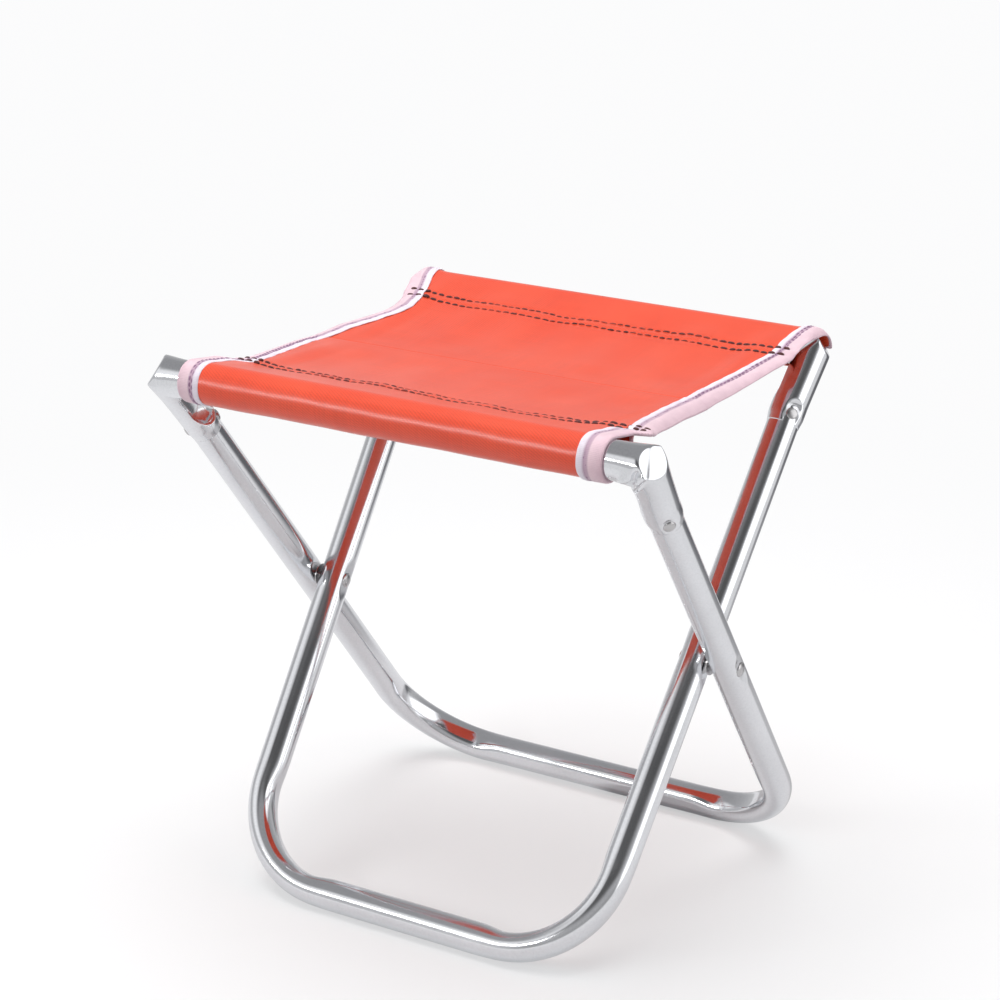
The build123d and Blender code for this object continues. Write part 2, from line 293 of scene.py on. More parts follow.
def leg_piece(name, width, front):
    """A leg frame: two legs and a ground bar, flattened at the pivots and pinched in the bends."""
    points, tangents, bend, arc = leg_line(width)
    around = 40
    rings = sweep_rings(points, tangents, tangents, LEG_R, around)
    theta = np.linspace(0, 2 * math.pi, around, endpoint=False)
    middle = np.array([0, 20.0])  # a point inside the U, which the inner side of each bend faces
    for k in range(len(points)):
        n = np.array([-tangents[k][1], tangents[k][0]])
        inner = math.copysign(1, n @ (middle - points[k]))
        facing = inner * np.cos(theta)
        share = float(smooth(-10, 8, bend[k]) * (1 - smooth(arc - 8, arc + 10, bend[k])))
        pinch = BEND_PINCH * np.clip(facing, 0, 1) ** 3 + BEND_BACK * np.clip(-facing, 0, 1) ** 4
        offset = -(share * pinch * np.sign(facing) * inner)
        rings[k, :, 0] += offset * n[0]
        rings[k, :, 1] += offset * n[1]
        rings[k, :, 2] += share * BEND_WIDEN * np.abs(np.sin(theta)) ** 2 * np.sign(np.sin(theta))
    # flats at the pivot rivets, a little longer along the leg than across it
    for side in (-1, 1):
        near = rings[..., 0] * side > 0
        d = rings[..., 0] - side * leg_half(width, rings[..., 1])
        away = np.hypot(rings[..., 1] * 0.8, rings[..., 2])
        limit = PIVOT_FLAT + PIVOT_FLAT_RISE * smooth(5.0, PIVOT_FLAT_R, away)
        over = np.where(near & (away < PIVOT_FLAT_R), np.maximum(np.abs(d) - limit, 0), 0)
        rings[..., 0] -= np.sign(d) * over
    piece = grid_mesh(name, stand(rings, front), close_cols=True, cap_rows=True)
    return subdivided(outward(piece))


def rail_line(width):
    """Centre line of a rail's right half, from its middle to the end of its arm, with the direction
    of the tube and the normal of the ring's plane at each point."""
    corner = np.array([width["corner"], PIVOT_TO_RAIL])
    kink_up, low_up = PIVOT_TO_RAIL - ARM_KINK, PIVOT_TO_RAIL - ARM_END
    kink = np.array([leg_half(width, kink_up), kink_up])
    low = np.array([leg_half(width, low_up), low_up])
    along = X_AXIS
    arm = (kink - corner) / np.linalg.norm(kink - corner)
    last = (low - kink) / np.linalg.norm(low - kink)
    mitre = (along + arm) / np.linalg.norm(along + arm)
    bend = (arm + last) / np.linalg.norm(arm + last)
    centres, tangents, planes = [], [], []

    def run(start, end, direction, plane0, plane1, reach0, reach1, step):
        """Adds a straight stretch, whose rings turn to plane0 and plane1 within reach of its ends."""
        for ends in (centres, tangents, planes):
            del ends[-1:]
        length = np.linalg.norm(end - start)
        for d in np.linspace(0, length, max(2, int(length / step))):
            w0 = 1 - smooth(0, reach0, d) if reach0 else 0.0
            w1 = 1 - smooth(0, reach1, length - d) if reach1 else 0.0
            m = direction * max(0, 1 - w0 - w1) + plane0 * w0 + plane1 * w1
            centres.append(start + direction * d)
            tangents.append(direction)
            planes.append(m / np.linalg.norm(m))

    turned = 24.0  # the rings turn into the mitre over this length of the rail
    fine, plain, coarse = 0.55, 1.0, 4.0  # steps between rings
    near = corner - along * turned
    run(np.array([0.0, PIVOT_TO_RAIL]), near, along, along, along, 0, 0, coarse)
    run(near, corner, along, along, mitre, 0, turned, fine)
    run(corner, kink, arm, mitre, bend, 22, 8, fine)
    run(kink, low, last, bend, last, 6, 0, plain)
    return np.array(centres), np.array(tangents), np.array(planes), corner, arm


def from_corner(rings, corner, direction):
    """How far the points lie from the corner of the centre lines, along a direction."""
    return (rings[..., 0] - corner[0]) * direction[0] + (rings[..., 1] - corner[1]) * direction[1]


def push(rings, amount, direction):
    """Moves the points of the rings in the frame's own plane."""
    rings[..., 0] += amount * direction[0]
    rings[..., 1] += amount * direction[1]


def crumple_corner(rings, centres, corner, inward, lateral, amount):
    """Folds and lobes of the crushed wall, on the front of the corner beside the flat."""
    side = from_corner(rings, corner, lateral)
    a = from_corner(rings, corner, inward)
    w = rings[..., 2]
    flat_centres = np.concatenate([centres, np.zeros((len(centres), 1))], axis=1)
    radial = rings - flat_centres[:, None, :]
    radial /= np.linalg.norm(radial, axis=2, keepdims=True)
    on_front = smooth(0.5, 5.5, w) * smooth(-7, -3, a) * (1 - smooth(8, 11, a))
    deep_fold = -2.5 * bump_at(side, -2.6 + np.sin(a / 2.0), 1.15)
    small_fold = -1.1 * bump_at(side, 1.4 + 0.15 * a, 0.9)
    big_lobe = 1.75 * bump_at(side, -5.3, 1.7) * bump_at(a, 5.0, 2.6)
    small_lobe = 0.7 * bump_at(side, -0.4, 1.0) * bump_at(a, 1.0, 3.6)
    height = deep_fold + small_fold + big_lobe + small_lobe
    rings += radial * (height * on_front * amount)[..., None]


def flatten_corner(rings, corner, inward, lateral):
    """The flat pressed on the outside of the corner, with a faint ridge and hollow."""
    a = from_corner(rings, corner, inward)
    side = from_corner(rings, corner, lateral)
    w = rings[..., 2]
    ridge = 0.22 * bump_at(side, 0.4 * w - 1.0, 1.1)
    hollow = 0.25 * bump_at(side, 0, 5.5) * bump_at(w, 0, 7.0)
    flat = soft_max(a, -CORNER_FACET + hollow - ridge, 0.9)
    near = np.hypot(rings[..., 0] - corner[0], rings[..., 1] - corner[1]) < CRUSHED_R
    push(rings, np.where(near & (a < 0), flat - a, 0), inward)


def dish_arm(rings, corner, arm):
    """The dish pressed into the arm's inner side, cut off by the rail above and round below."""
    inner = np.array([arm[1], -arm[0]])
    if inner[0] > 0:
        inner = -inner
    d = from_corner(rings, corner, inner)
    t = np.clip((from_corner(rings, corner, arm) - DISH_START) / DISH_LENGTH, 0, 1)
    upper_end = np.sqrt(smooth(0, 0.22, t))
    round_end = np.sqrt(np.clip(1 - ((t - DISH_WIDEST) / (1 - DISH_WIDEST)) ** 2, 0, 1))
    share = np.where(t < DISH_WIDEST, upper_end, round_end)
    half_width = DISH_HALF * share
    rim = np.sqrt(RAIL_R ** 2 - half_width ** 2)
    bottom = RAIL_R - DISH_DEPTH * share
    shape = np.clip(1 - (rings[..., 2] / np.maximum(half_width, 0.01)) ** 2, 0, None)
    inside = (shape > 0) & (d > 0) & (d < RAIL_R + 0.6) & (t > 0) & (t < 1)
    bowl = rim - (rim - bottom) * np.sqrt(shape)
    target = -soft_max(-d, -bowl, 0.5)
    push(rings, np.where(inside, np.minimum(target - d, 0), 0), inner)


def seat_rivet(rings, width, seat_r, seat_depth):
    """A flat on both sides of the arm for the heads of its rivet."""
    soft = 1.4
    ex, ew = math.cos(ARM_TURN), math.sin(ARM_TURN)
    dx = rings[..., 0] - leg_half(width, rings[..., 1])
    depth = dx * ex + rings[..., 2] * ew
    up = rings[..., 1] - (PIVOT_TO_RAIL - ARM_RIVET)
    away = np.hypot(up * 0.9, rings[..., 2] * ex - dx * ew)
    limit = RAIL_R - seat_depth + (seat_depth + 0.4) * smooth(seat_r - soft, seat_r + soft, away)
    over = np.maximum(np.abs(depth) - limit, 0)
    over = np.where(away < seat_r + 2, over, 0) * np.sign(depth)
    rings[..., 0] -= over * ex
    rings[..., 2] -= over * ew


def close_arm(rings, centres):
    """The end of the arm closed in on the leg."""
    last = len(centres) - 1
    for k in range(last - 5, last + 1):
        factor = 1 - ARM_CLOSED * float(smooth(-6, 0, k - last))
        rings[k, :, 0] = centres[k][0] + (rings[k, :, 0] - centres[k][0]) * factor
        rings[k, :, 2] *= factor


def rail_half(width, crumple, widened, seat_r, seat_depth):
    """Right half of a rail: rings from its middle round the crushed corner to the end of the arm."""
    centres, tangents, planes, corner, arm = rail_line(width)
    rings = sweep_rings(centres, tangents, planes, RAIL_R, 72)
    # the crushed corner is wider across than the tube
    distance = np.linalg.norm(centres - corner, axis=1)
    rings[..., 2] *= 1 + widened * bump_at(distance, 0, 9.0)[:, None]
    inward = arm - X_AXIS
    inward /= np.linalg.norm(inward)
    lateral = np.array([-inward[1], inward[0]])
    crumple_corner(rings, centres, corner, inward, lateral, crumple)
    flatten_corner(rings, corner, inward, lateral)
    dish_arm(rings, corner, arm)
    seat_rivet(rings, width, seat_r, seat_depth)
    close_arm(rings, centres)
    return rings


def rail_piece(name, width, front):
    """A rail with two crushed corners and two arms, its right corner crumpled more than its left."""
    widened = 0.14 if front else 0.03
    seat = (FRONT_SEAT_R, FRONT_SEAT_DEPTH) if front else (REAR_SEAT_R, REAR_SEAT_DEPTH)
    right = rail_half(width, 1.0, widened, *seat)
    left = rail_half(width, 0.08, widened, *seat)[::-1]
    left[..., 0] *= -1
    rings = np.concatenate([left[:-1], right])
    piece = grid_mesh(name, stand(rings, front), close_cols=True, cap_rows=True)
    return subdivided(outward(piece))


def tubes_mesh(name, tubes):
    """One mesh of several short closed tubes, each an array of rings of points in millimetres."""
    verts, faces = [], []
    for rings in tubes:
        base = len(verts)
        rows, around = rings.shape[:2]
        verts += [tuple(p * MM) for p in rings.reshape(-1, 3)]
        for i in range(rows - 1):
            low, high = base + i * around, base + (i + 1) * around
            for j in range(around):
                j2 = (j + 1) % around
                faces.append((low + j, low + j2, high + j2, high + j))
        faces.append(tuple(range(base, base + around)))
        faces.append(tuple(range(base + (rows - 1) * around, base + rows * around)))
    mesh = bpy.data.meshes.new(name)
    mesh.from_pydata(verts, [], faces)
    mesh.polygons.foreach_set("use_smooth", [True] * len(mesh.polygons))
    piece = bpy.data.objects.new(name, mesh)
    bpy.context.scene.collection.objects.link(piece)
    return outward(piece)


def rivet_rings(x0, x1, up, shank, head, lift, turn):
    """A crosswise rivet with a domed head beyond x0 and beyond x1, turned round its middle."""
    dome = [(1.0, 0.0), (0.97, 0.35), (0.8, 0.65), (0.45, 0.9)]  # shares of the lift and of the head
    left = [(x0 - lift * share, max(head * r, 0.02)) for share, r in dome]
    left += [(x0 - 0.1, head), (x0 + 0.05, head * 0.97), (x0 + 0.1, shank)]
    right = [(x0 + x1 - x, r) for x, r in reversed(left)]
    theta = np.linspace(0, 2 * math.pi, 28, endpoint=False)
    rings = np.array([[(x, up + r * math.cos(a), r * math.sin(a)) for a in theta] for x, r in left + right])
    centre = (x0 + x1) / 2
    angle = turn if centre > 0 else -turn
    off = rings[..., 0] - centre
    across = rings[..., 2]
    rings[..., 0] = centre + off * math.cos(angle) - across * math.sin(angle)
    rings[..., 2] = off * math.sin(angle) + across * math.cos(angle)
    return rings


# ---------------------------------------------------------------- cloth


def seat_reach(front):
    """From a rail's axis to the middle line, along the slope of the seat."""
    gap = RAIL_Y + MIDDLE_Y if front else RAIL_Y - MIDDLE_Y
    return (gap - SLEEVE_R * math.sin(SEAT_SLOPE)) / math.cos(SEAT_SLOPE)


class Half:
    """One half of the seat's cloth as a surface: s runs from the middle line over the rail and back
    under it to the hem, and x across."""

    def __init__(self, front):
        self.front = front
        self.reach = seat_reach(front)
        close = np.array([SLEEVE_CLOSE, SLEEVE_R - UNDER])
        dist = np.linalg.norm(close)
        start = math.degrees(math.atan2(close[1], close[0]) - math.acos(SLEEVE_R / dist)) + 360
        # each point of the profile: along the seat, up from it, and its normal
        profile = [(v, SLEEVE_R, 0, 1) for v in np.arange(self.reach, 0.5, -1.25)]
        on_top = len(profile)
        for a in np.radians(np.linspace(90, start, ROUND_POINTS)):
            c, d = math.cos(a), math.sin(a)
            profile.append((SLEEVE_R * c, SLEEVE_R * d, c, d))
        low, normal = np.array(profile[-1][:2]), profile[-1][2:]
        for share in np.linspace(0, 1, 15)[1:]:
            profile.append((*(low + (close - low) * share), *normal))
        for v in np.linspace(SLEEVE_CLOSE, SLEEVE_HEM, HEM_POINTS)[1:]:
            profile.append((v, SLEEVE_R - UNDER, 0, -1))
        self.u, self.n, self.nu, self.nn = np.array(profile).T
        step = np.hypot(np.diff(self.u), np.diff(self.n))
        self.s = np.concatenate([[0], np.cumsum(step)])
        self.top = np.arange(len(profile)) < on_top
        self.s_rail = self.reach  # the top of the rail
        self.s_close = float(self.s[-HEM_POINTS])
        self.angle = np.where(self.top, 90, np.degrees(np.arctan2(self.n, self.u)) % 360)
        self.angle[~self.top & (self.angle < 89)] += 360

    def at(self, s, x):
        """Points and normals in the row frame (mm) at arrays of s and x."""
        s, x = np.broadcast_arrays(np.asarray(s, float), np.asarray(x, float))
        u = np.interp(s, self.s, self.u)
        n = np.interp(s, self.s, self.n)
        nu = np.interp(s, self.s, self.nu)
        nn = np.interp(s, self.s, self.nn)
        length = np.hypot(nu, nn)
        nu, nn = nu / length, nn / length
        deep = SAG - 2.0 * smooth(84, 97, np.abs(x))
        past = smooth(self.s_rail + 30, self.s_close - 2, s)  # the under layer follows the top one
        weight = np.where(s < self.s_rail + 5, 1.0, past)
        sag = deep * np.sin(math.pi * np.clip(u / self.reach, 0, 1)) * weight
        # gentle unevenness of the stretched cloth
        fade = smooth(6, 26, s) * (1 - smooth(self.s_rail - 26, self.s_rail - 6, s))
        way = 1 if self.front else -1
        wave = (0.34 * np.sin(x / 19 + way * s / 31 + 0.6) + 0.22 * np.sin(x / 8.3 - way * s / 17 + 2.1)
                + 0.16 * np.sin(x / 4.7 + 1.3))
        sag = sag - fade * wave
        # the seam rows pull the cloth in, and it puckers between stitches
        on_top = s < self.s_rail
        for row in STITCH_ROWS:
            pucker = 0.14 * np.sin(x * 2 * math.pi / 7.3 + row) + 0.08 * np.sin(x * 2.4)
            sag = sag + bump_at(u, row, 1.3) * on_top * (0.42 + pucker)
        puff = bump_at(u, 27.7, 1.9) * on_top
        sag = sag - puff * (0.30 + 0.16 * np.sin(x / 2.3 + np.sin(x / 9)))
        before_seam = 1 - smooth(self.s_close - 12, self.s_close, s)
        loose = smooth(self.s_rail + 2, self.s_rail + 12, s) * before_seam
        swell = loose * (0.16 + 0.10 * np.sin(x / 13 + s / 6) + 0.05 * np.sin(x / 5 - s / 4))
        if not self.front:
            # room for the crushed corner
            at_rail = smooth(self.s_rail - 12, self.s_rail - 4, s)
            swell = swell + 0.7 * smooth(102, 110, np.abs(x)) * at_rail
        u = u + nu * swell
        n = n + nn * swell - sag - self.curl(s, x)
        side = 1 if self.front else -1
        c, d = math.cos(SEAT_SLOPE), math.sin(SEAT_SLOPE)
        along, up = np.array([0, side * c, -d]), np.array([0, side * d, c])
        p = u[..., None] * along + n[..., None] * up + np.array([0, -side * RAIL_Y, RAIL_Z])
        p = p + x[..., None] * np.array([1.0, 0, 0])
        normal = nu[..., None] * along + nn[..., None] * up
        return p, normal

    def edges(self, s):
        """Left and right edge of the cloth at s."""
        outlines = FRONT_EDGES if self.front else REAR_EDGES
        left, right = (np.interp(s, *zip(*outline)) for outline in outlines)
        if self.front:
            # the hem under the seam ends inside the panel's edges
            inner = FRONT_HEM
            share = smooth(self.s_close - 8, self.s_close - 1, s)
        else:
            # the cloth draws in between the arms where it turns under the rail
            inner = REAR_HEM
            share = np.where(s > self.s_rail, smooth(176, 232, np.interp(s, self.s, self.angle)), 0)
        return left + (inner[0] - left) * share, right + (inner[1] - right) * share

    def curl(self, s, x):
        """How far the edges hang below the rest of the stretched cloth."""
        left, right = self.edges(s)
        dist = np.clip(np.minimum(x - left, right - x), 0, CURL_W)
        to_seam = self.s_rail - SLEEVE_HEM
        if self.front:
            deep = CURL - 0.8 * smooth(to_seam - 20, to_seam, s)
            hood = 0.0
        else:
            deep = CURL - 1.2 * smooth(5, 50, s)
            hood = 4.0 * smooth(113.0, 120.0, np.abs(x)) * smooth(self.s_rail - 16, self.s_rail - 4, s)
        deep = deep * (1 - smooth(to_seam, to_seam + 10, s))
        return deep * (1 - dist / CURL_W) ** 2 + hood


def thickened(piece, thickness, offset):
    modifier = piece.modifiers.new("Thickness", "SOLIDIFY")
    modifier.thickness = thickness * MM
    modifier.offset = offset
    return subdivided(piece)


def cloth_piece(name, half):
    """The cloth of one half: panel, sleeve and hem in one."""
    s = half.s[:, None]
    left, right = half.edges(s)
    x = left + (right - left) * np.linspace(0, 1, 170)
    points, _ = half.at(s, x)
    way = 1 if half.front else -1
    uv = np.stack([x, way * s + 0 * x], axis=-1)
    return thickened(grid_mesh(name, points, uv=uv), CLOTH_T, 0)


def tape_piece(name, half, side, s_end):
    """Binding tape folded over one edge of a half, from the middle line to s_end."""
    s = half.s[half.s <= s_end]
    left, right = half.edges(s)
    edge = left if side == 0 else right
    inward = 1 if side == 0 else -1
    ripple = 0.10 * np.sin(s / 1.9 + side) + 0.05 * np.sin(s * 1.7)
    sections, coords = [], []

    def add_row(across, height, coord):
        p, n = half.at(s, edge + inward * across)
        sections.append(p + n * (height + 0 * s)[:, None])
        coords.append(np.full(len(s), coord))

    for across, lift in TAPE_PROFILE:
        height = CLOTH_T / 2 + lift
        add_row(across, height + ripple if across > 7.0 else height, across)
    for across, height in ((-0.25, 0.35), (-0.42, 0.0), (-0.25, -0.35)):
        add_row(across, height, 0.0)
    # under the seat, and only a narrow turn of tape where the sleeve's hem is in the way
    under_w = np.where(s < half.s_rail - SLEEVE_HEM - 1, 11.5, 1.2)
    for share, height in ((0.05, -0.55), (0.5, -0.62), (1.0, -0.5)):
        add_row(under_w * share, height, -2.0)
    points = np.stack(sections, axis=1)
    v = np.stack(coords, axis=1)
    uv = np.stack([v, s[:, None] + 0 * v], axis=-1)
    return thickened(grid_mesh(name, points, uv=uv, attributes={"across": v}), TAPE_T, -1)


def stitch_mesh(name, stitches):
    """Many short threads as one mesh. stitches is a list of (start, end, normal, width)."""
    t = np.linspace(0, 1, 7)[:, None, None]
    a = np.linspace(0, 2 * math.pi, 8, endpoint=False)[None, :, None]
    swell = np.sqrt(np.maximum(0.03, 1 - np.abs(2 * t - 1) ** 3.5)) / 2
    lift = 0.25 * np.sin(math.pi * t) - 0.25
    threads = []
    for start, end, normal, width in stitches:
        across = np.cross(normal, end - start)
        across /= np.linalg.norm(across)
        r = width * swell
        out = lift + THREAD_FLAT * r * np.sin(a)
        threads.append(start + (end - start) * t + across * r * np.cos(a) + normal * out)
    return tubes_mesh(name, threads)


def seam_stitches(name, half):
    """The two rows that close a sleeve, as single stitches, thickest towards the tapes."""
    stitches = []
    for number, row in enumerate(STITCH_ROWS):
        s = half.reach - row
        left, right = (float(e) for e in half.edges(np.array(s)))
        x = left + 2.5
        while x < right - 5:
            length = SEAM_STITCH + RNG.uniform(-0.6, 0.5)
            drift = 0.6 * math.sin(x / 23 + number) + 0.3 * math.sin(x / 7 + 2 * number)
            drift += RNG.uniform(-0.25, 0.25)
            thick = SEAM_THREAD + 0.75 * float(smooth(66, 90, abs(x + 4))) + RNG.uniform(-0.2, 0.35)
            on_tape = min(x - left, right - x) < TAPE_W + 1
            height = 1.15 if on_tape else 0.62
            a, n = half.at(s + drift, x)
            b, _ = half.at(s + drift + RNG.uniform(-0.2, 0.2), x + length)
            stitches.append((a + n * height, b + n * height, n, thick))
            x += length + RNG.uniform(0.3, 1.0)
    return stitch_mesh(name, stitches)


def tape_stitches(name, half, side, s_end):
    """Two close and uneven rows along a tape."""
    stitches = []
    inward = 1 if side == 0 else -1
    for row in TAPE_ROWS:
        s = (2.0 if half.front else 0.6) + RNG.uniform(0, 1.0)
        while s < s_end - 3:
            length = TAPE_STITCH + RNG.uniform(-0.3, 0.4)
            drift = 0.3 * math.sin(s / 9 + row) + RNG.uniform(-0.15, 0.15)
            edge = half.edges(np.array(s))[side]
            edge2 = half.edges(np.array(s + length))[side]
            a, n = half.at(s, edge + inward * (row + drift))
            b, m = half.at(s + length, edge2 + inward * (row + drift))
            normal = n + m
            normal = normal / np.linalg.norm(normal)
            thick = TAPE_THREAD_W + RNG.uniform(-0.1, 0.15)
            stitches.append((a + n * TAPE_TOP, b + m * TAPE_TOP, normal, thick))
            s += length + 0.45
    return stitch_mesh(name, stitches)


# ---------------------------------------------------------------- materials


def new_material(name):
    """A material with its node tree and its shader."""
    material = bpy.data.materials.new(name)
    material.use_nodes = True
    tree = material.node_tree
    shader = tree.nodes["Principled BSDF"]
    return material, tree, shader


def node(tree, kind, **values):
    """A new node, with inputs or settings given by name."""
    made = tree.nodes.new(kind)
    for key, value in values.items():
        if key in made.inputs:
            made.inputs[key].default_value = value
        else:
            setattr(made, key, value)
    return made


def math_node(tree, operation, a, b=None):
    """The result of a math node. a and b are numbers or other nodes' outputs."""
    made = tree.nodes.new("ShaderNodeMath")
    made.operation = operation
    for slot_number, value in enumerate((a, b)):
        if value is None:
            continue
        if isinstance(value, (int, float)):
            made.inputs[slot_number].default_value = value
        else:
            tree.links.new(value, made.inputs[slot_number])
    return made.outputs[0]


def add(tree, a, b):
    return math_node(tree, "ADD", a, b)


def times(tree, a, b):
    return math_node(tree, "MULTIPLY", a, b)


def inverse(tree, value):
    return math_node(tree, "SUBTRACT", 1.0, value)


def split(tree, vector):
    """The x, y and z outputs of a vector."""
    made = tree.nodes.new("ShaderNodeSeparateXYZ")
    tree.links.new(vector, made.inputs[0])
    return made.outputs


def object_coords(tree):
    return tree.nodes.new("ShaderNodeTexCoord").outputs["Object"]


def azimuth_of(tree, parts):
    """Degrees round the z axis, from split parts."""
    return math_node(tree, "DEGREES", math_node(tree, "ARCTAN2", parts[1], parts[0]))


def grey(value, blue=0.0):
    return (value, value, value + blue)


def smooth_range(tree, value, low, high, to_low=0.0):
    """to_low at low, 1 at high, and a smooth step between."""
    made = node(tree, "ShaderNodeMapRange", interpolation_type="SMOOTHSTEP")
    made.inputs[1].default_value = low
    made.inputs[2].default_value = high
    made.inputs[3].default_value = to_low
    tree.links.new(value, made.inputs[0])
    return made.outputs[0]


def ramp(tree, value, stops):
    """Colour ramp over (position, colour) stops."""
    made = tree.nodes.new("ShaderNodeValToRGB")
    elements = made.color_ramp.elements
    while len(elements) < len(stops):
        elements.new(0.5)
    for element, (position, colour) in zip(elements, stops):
        element.position = position
        element.color = (*colour, 1)
    tree.links.new(value, made.inputs[0])
    return made.outputs[0]


def mix(tree, factor, a, b, kind="MIX"):
    """Mixed colour. factor, a and b are values or other nodes' outputs."""
    made = tree.nodes.new("ShaderNodeMix")
    made.data_type = "RGBA"
    made.blend_type = kind
    for socket, value in ((made.inputs[0], factor), (made.inputs[6], a), (made.inputs[7], b)):
        if isinstance(value, (int, float)):
            socket.default_value = value
        elif isinstance(value, tuple):
            socket.default_value = (*value, 1)
        else:
            tree.links.new(value, socket)
    return made.outputs[2]


def bump(tree, shader, height, strength, distance):
    made = node(tree, "ShaderNodeBump", Strength=strength, Distance=distance)
    tree.links.new(height, made.inputs["Height"])
    tree.links.new(made.outputs[0], shader.inputs["Normal"])


def noise_at(tree, coords, scale, detail=3.0, rough=0.5):
    made = node(tree, "ShaderNodeTexNoise", Scale=scale, Detail=detail, Roughness=rough)
    tree.links.new(coords, made.inputs["Vector"])
    return made.outputs[0]


def plated_material(name, colour, rough):
    """Plated steel: cloudy in tint and polish, with a fine grain. rough is (least, most)."""
    material, tree, shader = new_material(name)
    coords = object_coords(tree)
    shader.inputs["Metallic"].default_value = 1.0
    cloudy = noise_at(tree, coords, 26, 3, 0.5)
    fine = noise_at(tree, coords, 420, 3, 0.6)
    tint = ramp(tree, cloudy, [(0.3, tuple(c * 0.93 for c in colour)), (0.7, colour)])
    grain = ramp(tree, noise_at(tree, coords, 900, 2, 0.7), [(0.35, grey(0.95, 0.005)), (0.6, grey(1.0))])
    tree.links.new(mix(tree, 1.0, tint, grain, "MULTIPLY"), shader.inputs["Base Color"])
    spread = ramp(tree, cloudy, [(0.35, grey(rough[0])), (0.75, grey(rough[1]))])
    tree.links.new(spread, shader.inputs["Roughness"])
    bump(tree, shader, add(tree, cloudy, times(tree, fine, 0.08)), 0.04, 0.0006)
    return material


def cloth_uv(tree):
    """Flat cloth coordinates in metres."""
    return node(tree, "ShaderNodeUVMap", uv_map="cloth").outputs[0]


def yarn_streaks(tree, uv, scale):
    """Noise drawn out along the yarns of one direction."""
    stretched = tree.nodes.new("ShaderNodeMapping")
    stretched.inputs["Scale"].default_value = scale
    tree.links.new(uv, stretched.inputs["Vector"])
    return noise_at(tree, stretched.outputs[0], 1.0, 2, 0.5)


def cloth_material():
    """Orange-red twill: crossing yarns with slanted lines where they step over each other, with painted shade
    in the low places of the weave and along those lines.
    """
    material, tree, shader = new_material("red_twill")
    uv = cloth_uv(tree)
    x, s, _ = split(tree, uv)
    pitch = 0.00046
    warp, weft = (math_node(tree, "ABSOLUTE", math_node(tree, "SINE", times(tree, way, math.pi / pitch)))
                  for way in (x, s))
    wobble = times(tree, noise_at(tree, uv, 260, 2, 0.5), 0.0006)
    slanted = add(tree, math_node(tree, "SUBTRACT", times(tree, x, 0.6), s), wobble)
    twill = math_node(tree, "SINE", times(tree, slanted, 2 * math.pi / (3 * pitch)))
    twill = add(tree, times(tree, twill, 0.5), 0.5)
    weave = add(tree, times(tree, warp, twill), times(tree, weft, inverse(tree, twill)))
    yarns = add(tree, yarn_streaks(tree, uv, (1800, 30, 1)), yarn_streaks(tree, uv, (30, 1800, 1)))
    cloudy = noise_at(tree, uv, 22, 4, 0.55)
    base = ramp(tree, cloudy, [(0.25, (0.86, 0.080, 0.030)), (0.75, (0.97, 0.115, 0.048))])
    # painted shade: the colour darkens towards a deep red in the weave's low places, where the bump is low,
    # and along the twill's slanted lines
    weave_shade = times(tree, inverse(tree, weave), 0.34)
    line = times(tree, math_node(tree, "POWER", inverse(tree, twill), 1.6), 0.30)
    dark = mix(tree, add(tree, weave_shade, line), base, (0.48, 0.030, 0.014))
    shade = ramp(tree, times(tree, yarns, 0.5), [(0.3, grey(0.82)), (0.7, grey(1.0))])
    tree.links.new(mix(tree, 1.0, dark, shade, "MULTIPLY"), shader.inputs["Base Color"])
    shader.inputs["Roughness"].default_value = 0.28
    shader.inputs["Specular IOR Level"].default_value = 0.55
    shader.inputs["Sheen Weight"].default_value = 0.08
    shader.inputs["Sheen Roughness"].default_value = 0.45
    shader.inputs["Sheen Tint"].default_value = (1.0, 0.62, 0.52, 1)
    bump(tree, shader, add(tree, weave, times(tree, yarns, 0.35)), 0.09, 0.0002)
    return material


def tape_material():
    """Ribbed tape, pink on its outer half, with painted shade as a darker purplish band where it is sewn
    down, a painted highlight as a pale whitish band on its raised inner border, and painted shade in the
    troughs of its ribs.
    """
    material, tree, shader = new_material("pink_binding_tape")
    across = node(tree, "ShaderNodeAttribute", attribute_name="across").outputs["Fac"]
    uv = cloth_uv(tree)
    over, along, _ = split(tree, uv)
    share = math_node(tree, "DIVIDE", across, TAPE_W)
    # across the tape: painted shade in the sewn-down furrow and a painted highlight on the raised inner
    # border
    pink = [(0.0, (0.78, 0.56, 0.62)), (0.48, (0.82, 0.62, 0.67))]
    sewn_shade_band = [(0.56, (0.55, 0.38, 0.47)), (0.68, (0.52, 0.36, 0.46))]
    inner_highlight_band = [(0.76, (0.84, 0.77, 0.84)), (1.0, (0.88, 0.83, 0.90))]
    base = ramp(tree, share, pink + sewn_shade_band + inner_highlight_band)
    ribs = math_node(tree, "SINE", times(tree, along, 2 * math.pi / 0.0007))
    ends = math_node(tree, "SINE", times(tree, over, 2 * math.pi / 0.0006))
    weave = add(tree, times(tree, ribs, 0.5), times(tree, ends, 0.25))
    cloudy = noise_at(tree, uv, 120, 4, 0.6)
    worn = ramp(tree, cloudy, [(0.3, (0.90, 0.88, 0.90)), (0.7, grey(1.04))])
    shade = ramp(tree, add(tree, times(tree, weave, 0.4), 0.5), [(0.1, (0.88, 0.86, 0.88)), (0.8, grey(1.0))])
    toned = mix(tree, 1.0, base, worn, "MULTIPLY")
    tree.links.new(mix(tree, 1.0, toned, shade, "MULTIPLY"), shader.inputs["Base Color"])
    shader.inputs["Roughness"].default_value = 0.62
    shader.inputs["Sheen Weight"].default_value = 0.2
    bump(tree, shader, weave, 0.35, 0.00018)
    return material


